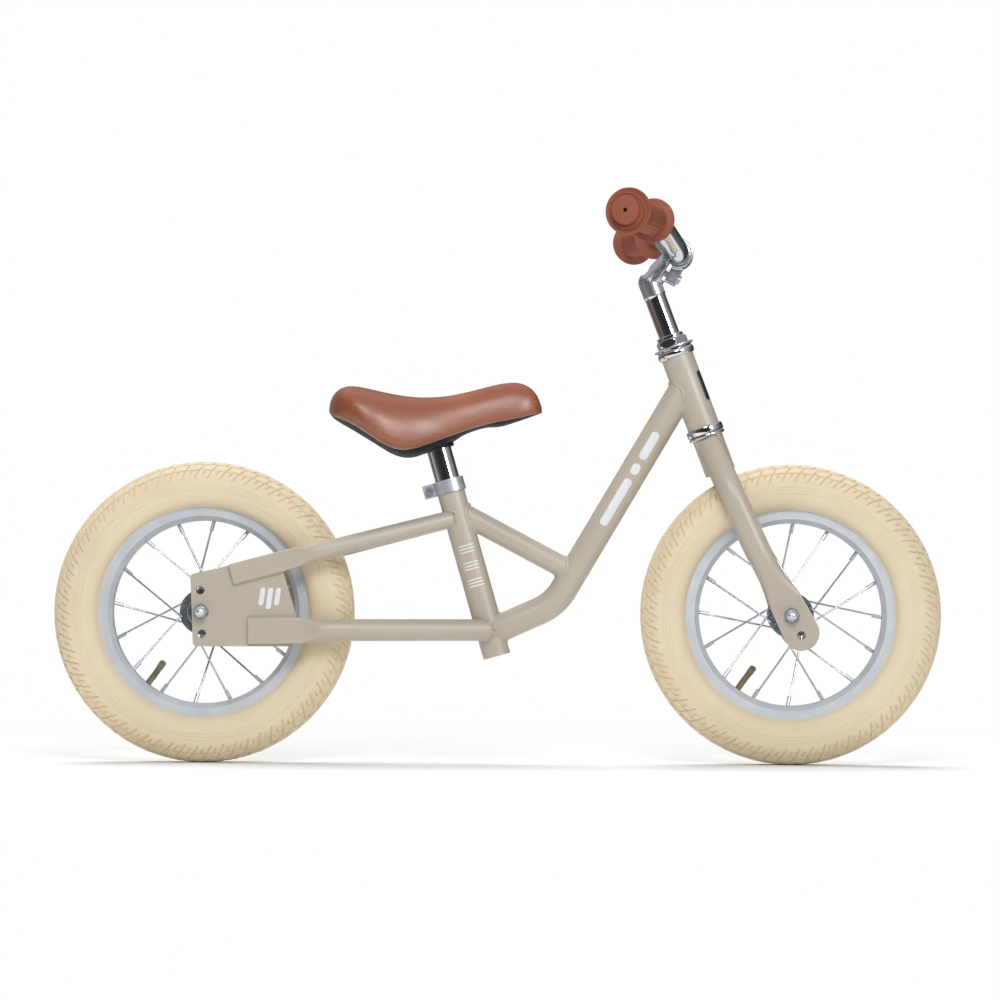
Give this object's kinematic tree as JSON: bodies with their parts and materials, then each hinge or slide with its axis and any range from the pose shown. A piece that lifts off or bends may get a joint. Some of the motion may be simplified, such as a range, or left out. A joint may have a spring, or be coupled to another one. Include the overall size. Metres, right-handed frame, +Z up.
{
  "type": "balance bike",
  "caption": "Child's balance bike with steel tube frame, air-filled spoked wheels, turning fork, quill stem, chrome handlebar with rubber grips and a padded height-adjustable saddle.",
  "frame": {"origin": "point where the rear tyre stands on the ground, on the bike's middle plane", "axes": "+X forward, +Y to the rider's left, +Z up; the handlebar and front wheel are drawn turned 3.63 degrees to the right"},
  "size_m": [0.9153, 0.3958, 0.5831],
  "materials": {
    "frame_paint": "taupe gloss paint",
    "chrome": "polished chrome plate",
    "plated_steel": "zinc plated steel",
    "spoke_steel": "bright drawn wire",
    "rim_alloy": "silver grey satin",
    "cream_tyre": "cream moulded rubber",
    "black_rubber": "matt",
    "valve_rubber": "matt grey brown",
    "grip_rubber": "matt terracotta",
    "saddle_leather": "smooth tan",
    "black_plastic": "fine grain",
    "badge_black": "gloss"
  },
  "bodies": {
    "frame": {"head_tube": "frame_paint", "down_tube": "frame_paint", "seat_tube": "frame_paint", "brace_tube": "frame_paint", "upper_stay_left": "frame_paint", "upper_stay_right": "frame_paint", "lower_stay_left": "frame_paint", "lower_stay_right": "frame_paint", "dropout_left": "frame_paint", "dropout_right": "frame_paint", "headset_cup_lower": "chrome", "headset_cup_upper": "chrome", "headset_balls": "plated_steel", "head_badge": "badge_black", "seat_clamp": "plated_steel", "seat_clamp_bolt": "chrome", "rear_axle": "plated_steel", "rear_cones": "plated_steel", "rear_locknuts": "plated_steel", "rear_axle_nuts": "chrome"},
    "fork": {"steerer": "frame_paint", "fork_blade_left": "frame_paint", "fork_blade_right": "frame_paint", "crown_race": "chrome", "adjusting_race": "chrome", "keyed_washer": "chrome", "lock_nut": "chrome", "front_axle": "plated_steel", "front_cones": "plated_steel", "front_locknuts": "plated_steel", "front_axle_nuts": "chrome"},
    "stem": {"stem": "chrome", "stem_wedge": "plated_steel", "stem_bolt": "chrome", "bar_clamp_bolt": "plated_steel"},
    "handlebar": {"handlebar": "chrome", "grip_left": "grip_rubber", "grip_right": "grip_rubber"},
    "front_wheel": {"front_tyre": "cream_tyre", "front_inner_tube": "black_rubber", "front_rim": "rim_alloy", "front_spokes": "spoke_steel", "front_nipples": "plated_steel", "front_hub": "chrome", "front_hub_balls": "plated_steel", "front_valve": "valve_rubber", "front_valve_cap": "plated_steel"},
    "rear_wheel": {"rear_tyre": "cream_tyre", "rear_inner_tube": "black_rubber", "rear_rim": "rim_alloy", "rear_spokes": "spoke_steel", "rear_nipples": "plated_steel", "rear_hub": "chrome", "rear_hub_balls": "plated_steel", "rear_valve": "valve_rubber", "rear_valve_cap": "plated_steel"},
    "saddle": {"seat_post": "chrome", "saddle_base": "black_plastic", "saddle_pad": "saddle_leather", "saddle_rivet": "chrome"}
  },
  "joints": [
    {"name": "steering", "type": "hinge", "parent": "frame", "child": "fork", "pos_m": [0.51546, 0, 0.3487], "axis": [-0.3527, 0, 0.9358], "continuous": true},
    {"name": "stem_height", "type": "slide", "parent": "fork", "child": "stem", "axis": [-0.3527, 0, 0.9358], "range_m": [-0.03, 0.025]},
    {"name": "handlebar_tilt", "type": "hinge", "parent": "stem", "child": "handlebar", "pos_m": [0.48842, -0.00241, 0.52798], "axis": [0.0592, 0.998, 0.0223], "range_deg": [-25, 25]},
    {"name": "front_wheel_spin", "type": "hinge", "parent": "fork", "child": "front_wheel", "pos_m": [0.60552, -0.00101, 0.15502], "axis": [0.0592, 0.998, 0.0223], "continuous": true},
    {"name": "rear_wheel_spin", "type": "hinge", "parent": "frame", "child": "rear_wheel", "pos_m": [0, 0, 0.155], "axis": [0, 1, 0], "continuous": true},
    {"name": "saddle_height", "type": "slide", "parent": "frame", "child": "saddle", "axis": [-0.2748, 0, 0.9615], "range_m": [-0.01, 0.07]}
  ]
}
